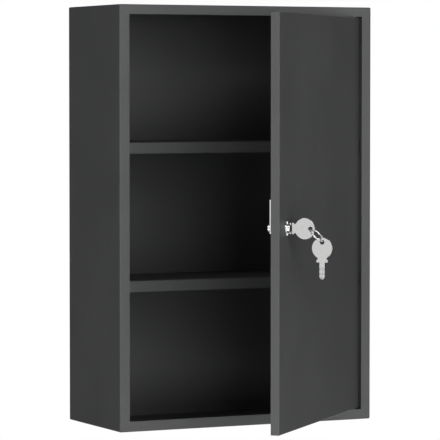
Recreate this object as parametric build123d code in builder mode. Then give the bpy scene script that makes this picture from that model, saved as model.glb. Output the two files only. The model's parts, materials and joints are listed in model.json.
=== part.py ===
from build123d import *
import os
from math import cos, radians, sin

os.makedirs("parts", exist_ok=True)

# Millimetres. +Z up, the front faces -Y, +X to the right. The origin is the centre of the
# wall-hole pattern on the back face. The door stands partly open, as it does at rest.

# Cabinet body
cabinet_width = 300.0
cabinet_depth = 135.0
cabinet_height = 450.0
body_sheet = 1.0
body_corner_radius = 1.5
stile_width = 11.25
top_rail_height = 10.2
bottom_rail_height = 11.0
weld_flange_width = 10.0
back_sheet = 1.0
wall_hole_spacing_x = 200.0
wall_hole_spacing_z = 350.0
wall_hole_diameter = 6.5

# Shelves and their ledges
shelf_sheet = 1.0
shelf_lip_height = 12.0
shelf_bend_radius = 1.5
shelf_setback = 23.0
shelf_side_clearance = 0.5
shelf_back_clearance = 0.5
ledge_sheet = 1.5
ledge_width = 12.0
ledge_height = 9.0
ledge_end_clearance = 2.0

# Door pan
door_sheet = 0.8
door_thickness = 9.2
door_corner_radius = 1.0
door_lip_width = 9.0
door_side_gap = 0.9
door_end_gap = 0.8
door_open_angle = 44.5

# Door pivots
pivot_inset = 7.5
pin_diameter = 5.0
pin_engagement = 8.0
pin_head_diameter = 7.0
pin_head_height = 1.5
pin_running_clearance = 0.05
fixed_fit_clearance = 0.02
bush_wall = 1.0
bush_length = 6.0
bush_flange_width = 0.7
bush_end_play = 0.3
bracket_sheet = 1.5
bracket_reach = 9.0

# Door stops and lock strike
stop_sheet = 1.0
stop_weld_leg = 8.0
stop_height = 20.0
stop_spacing_z = 300.0
stop_overlap = 4.0
stop_clearance = 0.3
strike_height = 40.0
strike_lip = 8.0
strike_clearance = 0.9

# Cam lock
lock_edge_distance = 21.5
lock_height = -4.7
lock_flange_diameter = 14.6
lock_flange_height = 2.4
lock_nose_diameter = 11.4
lock_nose_height = 2.8
barrel_diameter = 12.0
barrel_flats = 10.8
barrel_length = 13.9
skin_hole_clearance = 0.1
plug_diameter = 8.5
plug_head_diameter = 9.2
plug_head_height = 1.2
plug_running_clearance = 0.05
plug_proud = 0.1
plug_tail_square = 6.0
nut_across_flats = 15.0
nut_thickness = 2.4
cam_axial_gap = 0.2
cam_thickness = 1.5
cam_width = 13.0
cam_reach = 29.6
cam_heel = 6.2
cam_corner_radius = 2.5
cam_washer_diameter = 9.6
cam_washer_thickness = 0.8
cam_screw_diameter = 4.0
cam_screw_length = 7.0
cam_screw_head_diameter = 8.8
cam_screw_head_height = 3.0
cam_screw_head_round = 1.2
cam_screw_slot_width = 1.2
cam_screw_slot_depth = 1.0

# Wafer tumblers inside the plug
wafer_count = 4
wafer_pitch = 2.5
wafer_first_depth = 0.8
wafer_thickness = 1.0
wafer_width = 4.6
wafer_slot_clearance = 0.05
wafer_lift = 0.4
wafer_window_play = 0.2
wafer_groove_play = 0.1

# Keys and ring
key_bow_diameter = 21.5
key_neck_length = 3.6
key_neck_width = 9.7
key_shoulder_width = 12.0
key_shoulder_length = 2.8
key_blade_width = 5.9
key_blade_length = 17.35
key_tip_length = 3.0
key_thickness = 1.8
key_hole_diameter = 4.5
key_hole_edge = 4.7
key_groove_width = 1.4
key_groove_depth = 0.4
key_shoulder_gap = 0.2
keyway_clearance = 0.15
ring_diameter = 16.0
ring_wire_diameter = 1.5
ring_seat_gap = 0.2
ring_droop_angle = 44.3
ring_twist = 5.0
spare_key_twist = 2.0

# Levels and planes of the body, worked out from the sizes above
half_width = cabinet_width / 2
half_height = cabinet_height / 2
front = -cabinet_depth
inner_half_width = half_width - body_sheet
inner_half_height = half_height - body_sheet
top_rail_edge = half_height - top_rail_height
bottom_rail_edge = bottom_rail_height - half_height
stile_edge = half_width - stile_width
flange_back = -back_sheet
flange_front = flange_back - body_sheet
frame_back = front + body_sheet

# The two shelf lips split the front opening into three equal clear heights
clear_height = (top_rail_edge - bottom_rail_edge - 2 * shelf_lip_height) / 3
lower_shelf_top = bottom_rail_edge + clear_height + shelf_lip_height
upper_shelf_top = lower_shelf_top + clear_height + shelf_lip_height
shelf_front = front + shelf_setback
shelf_rear = flange_front - shelf_back_clearance
shelf_half_width = inner_half_width - shelf_side_clearance

# The door turns about a vertical line through its hinge edge. Its local frame has X from the
# free edge to the hinge edge, Y up and Z out of its outer face.
door_length = 2 * (stile_edge - door_side_gap)
door_top = top_rail_edge - door_end_gap
door_bottom = bottom_rail_edge + door_end_gap
door_height = door_top - door_bottom
door_mid = (door_top + door_bottom) / 2
pivot_x = stile_edge - door_side_gap - pivot_inset
pivot_y = front + door_thickness / 2
swing = radians(door_open_angle)
along_door = Vector(cos(swing), sin(swing), 0)
out_of_door = Vector(sin(swing), -cos(swing), 0)
door_plane = Plane(origin=(pivot_x, pivot_y, 0), x_dir=along_door, z_dir=out_of_door)
door_outer = door_thickness / 2
door_centre_x = pivot_inset - door_length / 2
lock_x = pivot_inset - door_length + lock_edge_distance

# The lock's frame lies on the door's outer face, with Z along the lock's axis and out of the door
lock_origin = door_plane.from_local_coords(Vector(lock_x, lock_height, door_outer))
lock_plane = Plane(origin=lock_origin, x_dir=along_door, z_dir=out_of_door)
lock_face = lock_flange_height + lock_nose_height
plug_front = lock_face + plug_proud
cam_front = -barrel_length - cam_axial_gap
cam_rear = cam_front - cam_thickness
washer_rear = cam_rear - cam_washer_thickness
plug_bore_radius = plug_diameter / 2 + plug_running_clearance


def body_shell():
    """Return the four outer sheets as one thin tube with its front frame and rear weld flange."""
    centre_y = -cabinet_depth / 2
    with BuildPart() as shell:
        with Locations((0, centre_y, 0)):
            Box(cabinet_width, cabinet_depth, cabinet_height)
        long_edges = shell.edges().filter_by(Axis.Y)
        front_edges = shell.faces().sort_by(Axis.Y)[0].edges()
        fillet(long_edges + front_edges, radius=body_corner_radius)
        with Locations((0, (frame_back + flange_front) / 2, 0)):
            Box(
                2 * inner_half_width,
                flange_front - frame_back,
                2 * inner_half_height,
                mode=Mode.SUBTRACT,
            )
        with Locations((0, flange_back / 2, 0)):
            Box(2 * inner_half_width, back_sheet, 2 * inner_half_height, mode=Mode.SUBTRACT)
        with Locations((0, centre_y, 0)):
            Box(
                2 * (inner_half_width - weld_flange_width),
                cabinet_depth / 2,
                2 * (inner_half_height - weld_flange_width),
                align=(Align.CENTER, Align.MIN, Align.CENTER),
                mode=Mode.SUBTRACT,
            )
        with Locations((0, centre_y, (top_rail_edge + bottom_rail_edge) / 2)):
            Box(
                2 * stile_edge,
                cabinet_depth / 2,
                top_rail_edge - bottom_rail_edge,
                align=(Align.CENTER, Align.MAX, Align.CENTER),
                mode=Mode.SUBTRACT,
            )
    return shell.part


def mitre_plane(side, end, rail_height):
    """Return the mitre through one long corner, with its normal towards the side wall.

    side is -1 for left and 1 for right; end is -1 for the bottom and 1 for the top.
    """
    corner = (side * half_width, 0, end * half_height)
    return Plane(origin=corner, z_dir=(side * rail_height, 0, -end * stile_width))


top_left_mitre = mitre_plane(-1, 1, top_rail_height)
top_right_mitre = mitre_plane(1, 1, top_rail_height)
bottom_left_mitre = mitre_plane(-1, -1, bottom_rail_height)
bottom_right_mitre = mitre_plane(1, -1, bottom_rail_height)
welded_shell = body_shell()

# Left side: side wall, front stile and rear weld flange, bent from one sheet
with BuildPart() as left_side:
    add(welded_shell)
    split(bisect_by=top_left_mitre, keep=Keep.TOP)
    split(bisect_by=bottom_left_mitre, keep=Keep.TOP)
left_side.part.label = "left_side"
export_step(left_side.part, "parts/left_side.step")

# Right side: the same sheet, mirrored
with BuildPart() as right_side:
    add(welded_shell)
    split(bisect_by=top_right_mitre, keep=Keep.TOP)
    split(bisect_by=bottom_right_mitre, keep=Keep.TOP)
right_side.part.label = "right_side"
export_step(right_side.part, "parts/right_side.step")

# Top panel with its front rail and rear weld flange
with BuildPart() as top_panel:
    add(welded_shell)
    split(bisect_by=top_left_mitre, keep=Keep.BOTTOM)
    split(bisect_by=top_right_mitre, keep=Keep.BOTTOM)
    split(bisect_by=Plane.XY, keep=Keep.TOP)
top_panel.part.label = "top_panel"
export_step(top_panel.part, "parts/top_panel.step")

# Bottom panel with its front rail and rear weld flange
with BuildPart() as bottom_panel:
    add(welded_shell)
    split(bisect_by=bottom_left_mitre, keep=Keep.BOTTOM)
    split(bisect_by=bottom_right_mitre, keep=Keep.BOTTOM)
    split(bisect_by=Plane.XY, keep=Keep.BOTTOM)
bottom_panel.part.label = "bottom_panel"
export_step(bottom_panel.part, "parts/bottom_panel.step")

# Back panel, set between the four sheets, with the wall holes
with BuildPart() as back_panel:
    with Locations((0, flange_back / 2, 0)):
        Box(2 * inner_half_width, back_sheet, 2 * inner_half_height)
    with BuildSketch(Plane.XZ):
        with GridLocations(wall_hole_spacing_x, wall_hole_spacing_z, 2, 2):
            Circle(wall_hole_diameter / 2)
    extrude(amount=back_sheet, mode=Mode.SUBTRACT)
back_panel.part.label = "back_panel"
export_step(back_panel.part, "parts/back_panel.step")


def shelf_profile_path(top):
    """Return the closed outline, in the YZ plane, of a shelf with a front and a rear lip."""
    lip_end = top - shelf_lip_height
    return [
        (shelf_front, lip_end),
        (shelf_front, top),
        (shelf_rear, top),
        (shelf_rear, lip_end),
        (shelf_rear - shelf_sheet, lip_end),
        (shelf_rear - shelf_sheet, top - shelf_sheet),
        (shelf_front + shelf_sheet, top - shelf_sheet),
        (shelf_front + shelf_sheet, lip_end),
        (shelf_front, lip_end),
    ]


def make_shelf(top):
    """Return a shelf whose upper face is at the height top."""
    with BuildPart() as shelf:
        with BuildSketch(Plane.YZ):
            with BuildLine():
                Polyline(*shelf_profile_path(top))
            make_face()
        extrude(amount=shelf_half_width, both=True)
        upper_edges = shelf.edges().filter_by(Axis.X).group_by(Axis.Z)[-1]
        fillet(upper_edges, radius=min(shelf_bend_radius, 1.9 * shelf_sheet))
    return shelf.part


def make_ledges(top):
    """Return the pair of angle ledges welded to the side walls under a shelf."""
    start = shelf_front + shelf_sheet + ledge_end_clearance
    length = shelf_rear - shelf_sheet - ledge_end_clearance - start
    seat = top - shelf_sheet
    with BuildPart() as ledges:
        with BuildSketch(Plane.XZ.offset(-start)):
            with BuildLine():
                Polyline(
                    (inner_half_width, seat),
                    (inner_half_width - ledge_width, seat),
                    (inner_half_width - ledge_width, seat - ledge_sheet),
                    (inner_half_width - ledge_sheet, seat - ledge_sheet),
                    (inner_half_width - ledge_sheet, seat - ledge_height),
                    (inner_half_width, seat - ledge_height),
                    (inner_half_width, seat),
                )
            make_face()
        extrude(amount=-length)
        mirror(about=Plane.YZ)
    return ledges.part


# Shelves, each a tray sheet with lips front and rear, and the ledges that carry them
for shelf_name, shelf_top in (("upper_shelf", upper_shelf_top), ("lower_shelf", lower_shelf_top)):
    shelf_part = make_shelf(shelf_top)
    shelf_part.label = shelf_name
    export_step(shelf_part, f"parts/{shelf_name}.step")
    ledge_part = make_ledges(shelf_top)
    ledge_part.label = f"{shelf_name}_ledges"
    export_step(ledge_part, f"parts/{shelf_name}_ledges.step")


def make_hinge_bracket(seat, end):
    """Return the angle bracket that holds a hinge pin.

    seat is the height of the bracket's face towards the door; end is 1 at the top, -1 below.
    """
    wall_end = end * inner_half_height
    with BuildPart() as bracket:
        with BuildSketch(Plane.XZ.offset(-frame_back)):
            with BuildLine():
                Polyline(
                    (pivot_x - bracket_reach, seat),
                    (inner_half_width, seat),
                    (inner_half_width, wall_end),
                    (inner_half_width - bracket_sheet, wall_end),
                    (inner_half_width - bracket_sheet, seat + end * bracket_sheet),
                    (pivot_x - bracket_reach, seat + end * bracket_sheet),
                    (pivot_x - bracket_reach, seat),
                )
            make_face()
        extrude(amount=-(pivot_y + bracket_reach - frame_back))
        with BuildSketch(Plane.XY.offset(seat)):
            with Locations((pivot_x, pivot_y)):
                Circle(pin_diameter / 2 + fixed_fit_clearance)
        extrude(amount=end * bracket_sheet, mode=Mode.SUBTRACT)
    return bracket.part


def make_hinge_pin(seat, end):
    """Return the headed pin that passes through a bracket into the door's bush."""
    with BuildPart() as pin:
        with BuildSketch(Plane.XY.offset(seat + end * bracket_sheet)):
            with Locations((pivot_x, pivot_y)):
                Circle(pin_head_diameter / 2)
        extrude(amount=end * pin_head_height)
        with BuildSketch(Plane.XY.offset(seat + end * bracket_sheet)):
            with Locations((pivot_x, pivot_y)):
                Circle(pin_diameter / 2)
        extrude(amount=-end * (bracket_sheet + door_end_gap + pin_engagement))
        tip_edge = pin.edges().filter_by(GeomType.CIRCLE).sort_by(Axis.Z)[0 if end > 0 else -1]
        chamfer(tip_edge, length=0.12 * pin_diameter)
    return pin.part


def make_hinge_bush(door_end, end, flange_thickness):
    """Return the flanged bush that sits in the door's return and turns on the pin."""
    bush_radius = pin_diameter / 2 + pin_running_clearance + bush_wall
    with BuildPart() as bush:
        with BuildSketch(Plane.XY.offset(door_end)):
            with Locations((pivot_x, pivot_y)):
                Circle(bush_radius + bush_flange_width)
        extrude(amount=end * flange_thickness)
        with BuildSketch(Plane.XY.offset(door_end)):
            with Locations((pivot_x, pivot_y)):
                Circle(bush_radius)
        extrude(amount=-end * bush_length)
        with BuildSketch(Plane.XY.offset(door_end + end * flange_thickness)):
            with Locations((pivot_x, pivot_y)):
                Circle(pin_diameter / 2 + pin_running_clearance)
        extrude(amount=-end * (bush_length + flange_thickness), mode=Mode.SUBTRACT)
    return bush.part


# Hinge at the top and at the bottom: bracket and pin on the body, bush in the door
hinge_ends = (
    ("upper", 1, top_rail_edge, door_top, door_end_gap - bush_end_play),
    ("lower", -1, bottom_rail_edge, door_bottom, door_end_gap),
)
for end_name, end, seat, door_end, flange_thickness in hinge_ends:
    bracket_part = make_hinge_bracket(seat, end)
    bracket_part.label = f"{end_name}_hinge_bracket"
    export_step(bracket_part, f"parts/{end_name}_hinge_bracket.step")
    pin_part = make_hinge_pin(seat, end)
    pin_part.label = f"{end_name}_hinge_pin"
    export_step(pin_part, f"parts/{end_name}_hinge_pin.step")
    bush_part = make_hinge_bush(door_end, end, flange_thickness)
    bush_part.label = f"{end_name}_hinge_bush"
    export_step(bush_part, f"parts/{end_name}_hinge_bush.step")

# Door stops: two Z-bent tabs welded behind the left stile, which meet the door's inner face
stop_web_x = -stile_edge - stop_sheet
stop_face = front + door_thickness + stop_clearance
with BuildPart() as door_stops:
    with BuildSketch(Plane.XY.offset(-stop_height / 2)):
        with BuildLine():
            Polyline(
                (stop_web_x - stop_weld_leg, frame_back),
                (stop_web_x + stop_sheet, frame_back),
                (stop_web_x + stop_sheet, stop_face),
                (stop_web_x + stop_sheet + stop_overlap, stop_face),
                (stop_web_x + stop_sheet + stop_overlap, stop_face + stop_sheet),
                (stop_web_x, stop_face + stop_sheet),
                (stop_web_x, frame_back + stop_sheet),
                (stop_web_x - stop_weld_leg, frame_back + stop_sheet),
                (stop_web_x - stop_weld_leg, frame_back),
            )
        make_face()
    stop_tab = extrude(amount=stop_height, mode=Mode.PRIVATE)
    with Locations((0, 0, -stop_spacing_z / 2), (0, 0, stop_spacing_z / 2)):
        add(stop_tab)
door_stops.part.label = "door_stops"
export_step(door_stops.part, "parts/door_stops.step")

# Lock strike: a channel welded behind the left stile, whose rear lip the cam turns behind
strike_rear = front - cam_front - strike_clearance
with BuildPart() as lock_strike:
    with BuildSketch(Plane.XY.offset(lock_height - strike_height / 2)):
        with BuildLine():
            Polyline(
                (stop_web_x - strike_lip, frame_back),
                (stop_web_x + stop_sheet, frame_back),
                (stop_web_x + stop_sheet, strike_rear),
                (stop_web_x - strike_lip, strike_rear),
                (stop_web_x - strike_lip, strike_rear - stop_sheet),
                (stop_web_x, strike_rear - stop_sheet),
                (stop_web_x, frame_back + stop_sheet),
                (stop_web_x - strike_lip, frame_back + stop_sheet),
                (stop_web_x - strike_lip, frame_back),
            )
        make_face()
    extrude(amount=strike_height)
lock_strike.part.label = "lock_strike"
export_step(lock_strike.part, "parts/lock_strike.step")

# Door panel: a pan with returns all round and a narrow inner lip
with BuildPart(door_plane) as door_panel:
    with Locations((door_centre_x, door_mid, 0)):
        Box(door_length, door_height, door_thickness)
    outer_edges = door_panel.faces().sort_by(Axis(door_plane.origin, out_of_door))[-1].edges()
    corner_edges = door_panel.edges().filter_by(Axis(door_plane.origin, out_of_door))
    fillet(outer_edges + corner_edges, radius=door_corner_radius)
    with Locations((door_centre_x, door_mid, 0)):
        Box(
            door_length - 2 * door_sheet,
            door_height - 2 * door_sheet,
            door_thickness - 2 * door_sheet,
            mode=Mode.SUBTRACT,
        )
    with BuildSketch(door_plane.offset(-door_outer)):
        with Locations((door_centre_x, door_mid)):
            Rectangle(door_length - 2 * door_lip_width, door_height - 2 * door_lip_width)
    extrude(amount=door_sheet, mode=Mode.SUBTRACT)
    with BuildSketch(lock_plane):
        Circle(barrel_diameter / 2 + skin_hole_clearance)
        Rectangle(
            barrel_flats + 2 * skin_hole_clearance,
            barrel_diameter + 2 * skin_hole_clearance,
            mode=Mode.INTERSECT,
        )
    extrude(amount=-door_sheet, mode=Mode.SUBTRACT)
    with BuildSketch(Plane.XY.offset(door_bottom)):
        with Locations((pivot_x, pivot_y)):
            Circle(pin_diameter / 2 + pin_running_clearance + bush_wall)
    extrude(amount=door_height, mode=Mode.SUBTRACT)
door_panel.part.label = "door_panel"
export_step(door_panel.part, "parts/door_panel.step")

# Lock barrel: flange and nose outside the door, flatted body behind it
groove_radius = plug_bore_radius + wafer_lift + wafer_groove_play
wafer_zone = wafer_first_depth + wafer_count * wafer_pitch
with BuildPart(lock_plane) as lock_barrel:
    with BuildSketch(lock_plane):
        Circle(lock_flange_diameter / 2)
    extrude(amount=lock_flange_height)
    flange_rim = lock_barrel.faces().sort_by(Axis(lock_origin, out_of_door))[-1].edges()
    fillet(flange_rim, radius=0.45 * lock_flange_height)
    with BuildSketch(lock_plane.offset(lock_flange_height)):
        Circle(lock_nose_diameter / 2)
    extrude(amount=lock_nose_height)
    nose_rim = lock_barrel.faces().sort_by(Axis(lock_origin, out_of_door))[-1].edges()
    fillet(nose_rim, radius=0.2 * lock_nose_height)
    with BuildSketch(lock_plane):
        Circle(barrel_diameter / 2)
        Rectangle(barrel_flats, barrel_diameter, mode=Mode.INTERSECT)
    extrude(amount=-barrel_length)
    with BuildSketch(lock_plane.offset(-barrel_length)):
        Circle(plug_bore_radius)
    extrude(amount=barrel_length + lock_face, mode=Mode.SUBTRACT)
    with BuildSketch(lock_plane.offset(lock_face - plug_head_height)):
        Circle(plug_head_diameter / 2 + plug_running_clearance)
    extrude(amount=plug_head_height, mode=Mode.SUBTRACT)
    groove_width = wafer_width + 2 * wafer_groove_play
    with BuildSketch(lock_plane.offset(-wafer_zone)):
        Rectangle(groove_width, groove_radius, align=(Align.CENTER, Align.MIN))
        Rectangle(groove_radius, groove_width, align=(Align.MAX, Align.CENTER))
    extrude(amount=wafer_zone, mode=Mode.SUBTRACT)
lock_barrel.part.label = "lock_barrel"
export_step(lock_barrel.part, "parts/lock_barrel.step")

# Thin hexagonal nut that clamps the barrel to the door's skin
with BuildPart(lock_plane) as lock_nut:
    with BuildSketch(lock_plane.offset(-door_sheet)):
        RegularPolygon(nut_across_flats / 2, 6, major_radius=False)
        Circle(barrel_diameter / 2 + fixed_fit_clearance, mode=Mode.SUBTRACT)
    extrude(amount=-nut_thickness)
lock_nut.part.label = "lock_nut"
export_step(lock_nut.part, "parts/lock_nut.step")

# Lock plug: head, body with keyway and wafer slots, and a square tail for the cam
keyway_height = key_blade_width + 2 * keyway_clearance
keyway_width = key_thickness + 2 * keyway_clearance
blade_tip_depth = key_blade_length - plug_front - key_shoulder_gap
keyway_length = plug_front + blade_tip_depth + keyway_clearance
slot_width = wafer_width + 2 * wafer_slot_clearance
with BuildPart(lock_plane) as lock_plug:
    with BuildSketch(lock_plane.offset(plug_front)):
        Circle(plug_head_diameter / 2)
    extrude(amount=-(plug_proud + plug_head_height))
    with BuildSketch(lock_plane.offset(plug_front)):
        Circle(plug_diameter / 2)
    extrude(amount=-(plug_front + barrel_length))
    with BuildSketch(lock_plane.offset(-barrel_length)):
        Rectangle(plug_tail_square, plug_tail_square)
    extrude(amount=cam_rear + barrel_length)
    with BuildSketch(lock_plane.offset(plug_front)):
        Rectangle(keyway_width, keyway_height)
    extrude(amount=-keyway_length, mode=Mode.SUBTRACT)
    for index in range(wafer_count):
        wafer_front = -wafer_first_depth - index * wafer_pitch + wafer_slot_clearance
        with BuildSketch(lock_plane.offset(wafer_front)):
            Rectangle(slot_width, 2 * plug_diameter)
        extrude(amount=-(wafer_thickness + 2 * wafer_slot_clearance), mode=Mode.SUBTRACT)
    with BuildSketch(lock_plane.offset(cam_rear)):
        Circle(cam_screw_diameter / 2 + fixed_fit_clearance)
    extrude(amount=cam_thickness, mode=Mode.SUBTRACT)
lock_plug.part.label = "lock_plug"
export_step(lock_plug.part, "parts/lock_plug.step")

# Wafer tumblers: windowed plates that the key blade holds level with the plug
with BuildPart(lock_plane) as wafer_tumblers:
    for index in range(wafer_count):
        with BuildSketch(lock_plane.offset(-wafer_first_depth - index * wafer_pitch)):
            Circle(plug_diameter / 2 - wafer_slot_clearance)
            Rectangle(wafer_width, plug_diameter, mode=Mode.INTERSECT)
            with Locations((0, -wafer_lift / 2)):
                Rectangle(
                    key_thickness + 2 * wafer_window_play,
                    key_blade_width + wafer_lift + 2 * wafer_window_play,
                    mode=Mode.SUBTRACT,
                )
        extrude(amount=-wafer_thickness)
wafer_tumblers.part.label = "wafer_tumblers"
export_step(wafer_tumblers.part, "parts/wafer_tumblers.step")

# Cam: a flat tongue on the plug's square tail, pointing up while the door is unlocked
with BuildPart(lock_plane) as lock_cam:
    with BuildSketch(lock_plane.offset(cam_front)):
        with Locations((0, (cam_reach - cam_heel) / 2)):
            Rectangle(cam_width, cam_reach + cam_heel)
        fillet(vertices(), radius=cam_corner_radius)
        tail_hole = plug_tail_square + 2 * fixed_fit_clearance
        Rectangle(tail_hole, tail_hole, mode=Mode.SUBTRACT)
    extrude(amount=-cam_thickness)
lock_cam.part.label = "lock_cam"
export_step(lock_cam.part, "parts/lock_cam.step")

# Washer between the cam and its screw
with BuildPart(lock_plane) as cam_washer:
    with BuildSketch(lock_plane.offset(cam_rear)):
        Circle(cam_washer_diameter / 2)
        Circle(cam_screw_diameter / 2 + fixed_fit_clearance, mode=Mode.SUBTRACT)
    extrude(amount=-cam_washer_thickness)
cam_washer.part.label = "cam_washer"
export_step(cam_washer.part, "parts/cam_washer.step")

# Slotted pan-head screw that holds the cam
with BuildPart(lock_plane) as cam_screw:
    with BuildSketch(lock_plane.offset(washer_rear)):
        Circle(cam_screw_head_diameter / 2)
    extrude(amount=-cam_screw_head_height)
    head_rim = cam_screw.faces().sort_by(Axis(lock_origin, out_of_door))[0].edges()
    fillet(head_rim, radius=cam_screw_head_round)
    with BuildSketch(lock_plane.offset(washer_rear)):
        Circle(cam_screw_diameter / 2)
    extrude(amount=cam_washer_thickness + cam_thickness)
    with BuildSketch(lock_plane.offset(washer_rear - cam_screw_head_height)):
        Rectangle(cam_screw_slot_width, cam_screw_head_diameter)
    extrude(amount=cam_screw_slot_depth, mode=Mode.SUBTRACT)
cam_screw.part.label = "cam_screw"
export_step(cam_screw.part, "parts/cam_screw.step")


def make_key(plane):
    """Return a key in the given plane, X from the shoulder towards the bow."""
    bow_centre = key_neck_length + key_bow_diameter / 2
    hole_x = key_neck_length + key_bow_diameter - key_hole_edge
    neck_half = key_neck_width / 2
    shoulder_half = key_shoulder_width / 2
    blade_half = key_blade_width / 2
    tip_half = 0.35 * blade_half
    with BuildPart(plane) as key_body:
        with BuildSketch(plane.offset(-key_thickness / 2)):
            with BuildLine():
                Polyline(
                    (bow_centre, neck_half),
                    (key_shoulder_length, neck_half),
                    (key_shoulder_length, shoulder_half),
                    (0, shoulder_half),
                    (0, blade_half),
                    (key_tip_length - key_blade_length, blade_half),
                    (-key_blade_length, tip_half),
                    (-key_blade_length, -tip_half),
                    (key_tip_length - key_blade_length, -blade_half),
                    (0, -blade_half),
                    (0, -shoulder_half),
                    (key_shoulder_length, -shoulder_half),
                    (key_shoulder_length, -neck_half),
                    (bow_centre, -neck_half),
                    (bow_centre, neck_half),
                )
            make_face()
            with Locations((bow_centre, 0)):
                Circle(key_bow_diameter / 2)
            with Locations((hole_x, 0)):
                Circle(key_hole_diameter / 2, mode=Mode.SUBTRACT)
        extrude(amount=key_thickness)
        for face_offset, depth in ((key_thickness / 2, -1), (-key_thickness / 2, 1)):
            with BuildSketch(plane.offset(face_offset)):
                with Locations((-key_blade_length / 2 - key_tip_length / 2, 0)):
                    Rectangle(key_blade_length - key_tip_length, key_groove_width)
            extrude(amount=depth * key_groove_depth, mode=Mode.SUBTRACT)
    return key_body.part


# Key in the lock, its shoulder just off the plug's face
key_shoulder = plug_front + key_shoulder_gap
key_origin = lock_plane.from_local_coords(Vector(0, 0, key_shoulder))
key_plane = Plane(origin=key_origin, x_dir=out_of_door, z_dir=along_door)
key = make_key(key_plane)
key.label = "key"
export_step(key, "parts/key.step")

# Wire ring through the bows of both keys, hanging outwards and down from the first key's hole and
# turned a little about the line between its two seats
droop = radians(ring_droop_angle)
ring_fall = out_of_door * cos(droop) - Vector(0, 0, 1) * sin(droop)
key_hole_x = key_neck_length + key_bow_diameter - key_hole_edge
key_hole_centre = key_plane.from_local_coords(Vector(key_hole_x, 0, 0))
wire_seat = key_hole_diameter / 2 - ring_wire_diameter / 2 - ring_seat_gap
ring_top = key_hole_centre + ring_fall * wire_seat
ring_bottom = ring_top + ring_fall * ring_diameter
ring_across = along_door.rotate(Axis((0, 0, 0), ring_fall), ring_twist)
ring_plane = Plane(
    origin=ring_top + ring_fall * (ring_diameter / 2),
    x_dir=ring_fall,
    z_dir=ring_fall.cross(ring_across),
)
with BuildPart(ring_plane) as key_ring:
    Torus(ring_diameter / 2, ring_wire_diameter / 2)
key_ring.part.label = "key_ring"
export_step(key_ring.part, "parts/key_ring.step")

# Spare key, hanging straight down from the ring
spare_normal = along_door.rotate(Axis.Z, spare_key_twist)
spare_hole_centre = ring_bottom - Vector(0, 0, 1) * wire_seat
spare_origin = spare_hole_centre - Vector(0, 0, 1) * key_hole_x
spare_plane = Plane(origin=spare_origin, x_dir=(0, 0, 1), z_dir=spare_normal)
spare_key = make_key(spare_plane)
spare_key.label = "spare_key"
export_step(spare_key, "parts/spare_key.step")

print("door pivot", round(pivot_x, 3), round(pivot_y, 3))
print("lock axis point", [round(v, 3) for v in lock_origin])
print("lock direction", [round(v, 6) for v in out_of_door])
print("ring seat", [round(v, 3) for v in ring_top], "ring axis", [round(v, 6) for v in along_door])
print("spare seat", [round(v, 3) for v in ring_bottom], "axis", [round(v, 6) for v in spare_normal])
print("shelf tops", round(upper_shelf_top, 3), round(lower_shelf_top, 3))
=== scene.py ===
import json
import logging
import math
from dataclasses import dataclass
from enum import Enum
from typing import Callable, Optional

import bmesh
import bpy
import numpy as np
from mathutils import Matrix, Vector
from numpy.typing import NDArray


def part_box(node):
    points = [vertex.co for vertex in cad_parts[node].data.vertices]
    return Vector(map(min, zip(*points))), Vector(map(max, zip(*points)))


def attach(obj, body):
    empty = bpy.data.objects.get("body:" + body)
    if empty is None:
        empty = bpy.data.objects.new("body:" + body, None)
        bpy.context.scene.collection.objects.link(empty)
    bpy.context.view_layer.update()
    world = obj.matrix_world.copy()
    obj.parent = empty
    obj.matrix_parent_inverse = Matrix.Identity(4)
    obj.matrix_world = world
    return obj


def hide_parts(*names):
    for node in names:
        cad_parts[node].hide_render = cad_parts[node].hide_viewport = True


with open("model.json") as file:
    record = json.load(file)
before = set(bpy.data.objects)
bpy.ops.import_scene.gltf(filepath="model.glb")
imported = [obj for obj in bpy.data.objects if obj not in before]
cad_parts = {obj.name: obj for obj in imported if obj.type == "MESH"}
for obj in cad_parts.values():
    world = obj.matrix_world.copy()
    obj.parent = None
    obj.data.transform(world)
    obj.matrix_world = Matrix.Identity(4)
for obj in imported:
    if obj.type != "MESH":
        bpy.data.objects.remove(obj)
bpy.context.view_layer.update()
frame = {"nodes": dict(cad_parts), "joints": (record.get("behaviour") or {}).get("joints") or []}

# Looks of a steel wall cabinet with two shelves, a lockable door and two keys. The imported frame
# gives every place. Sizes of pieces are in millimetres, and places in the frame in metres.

log = logging.getLogger("wall_cabinet")

Array = NDArray[np.float64]
Colour = tuple[float, float, float]
Place = tuple[float, float, float]
RadiusRule = Callable[[Array, Array, Array], Array]
Material = bpy.types.Material
Node = bpy.types.Node
NodeTree = bpy.types.NodeTree
Socket = bpy.types.NodeSocket

MM = 0.001
UP = np.array([0.0, 0.0, 1.0])
RIGHT = np.array([1.0, 0.0, 0.0])
TINY = 1e-6
PIECE_SPACE = "piece_space"

# Most of a side that one softened corner takes.
SIDE_SHARE = 0.45
# Where a plate's faces have points, from the spine to the rim; the close ones carry a key's groove.
FACE_SHARES = np.array([0.0, 0.14, 0.19, 0.24, 0.29, 0.6, 1.0])
RIM_POINTS = 4
# How far past a bore or under a crest a rule still counts a point to it, in millimetres.
MARGIN = 0.1
# Points nearer than the first are merged, and shorter edges than the second dissolved, in metres.
MERGE_DISTANCE = 4e-7
SHORTEST_EDGE = 1e-8
# Where the mottling of a coat with handling marks begins and ends.
MOTTLE_EDGES = (0.3, 0.7)


class Slot(Enum):
    """Material slots of the record."""

    POWDER_COAT = "powder_coat"
    ZINC_STEEL = "zinc_steel"
    CHROME_PLATE = "chrome_plate"
    NICKEL_PLATE = "nickel_plate"
    STEEL_WIRE = "steel_wire"
    BRASS = "brass"
    NYLON = "nylon"


class End(Enum):
    """Which end of the door a hinge is at; the value is the way from the door to it."""

    UPPER = 1
    LOWER = -1


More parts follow.
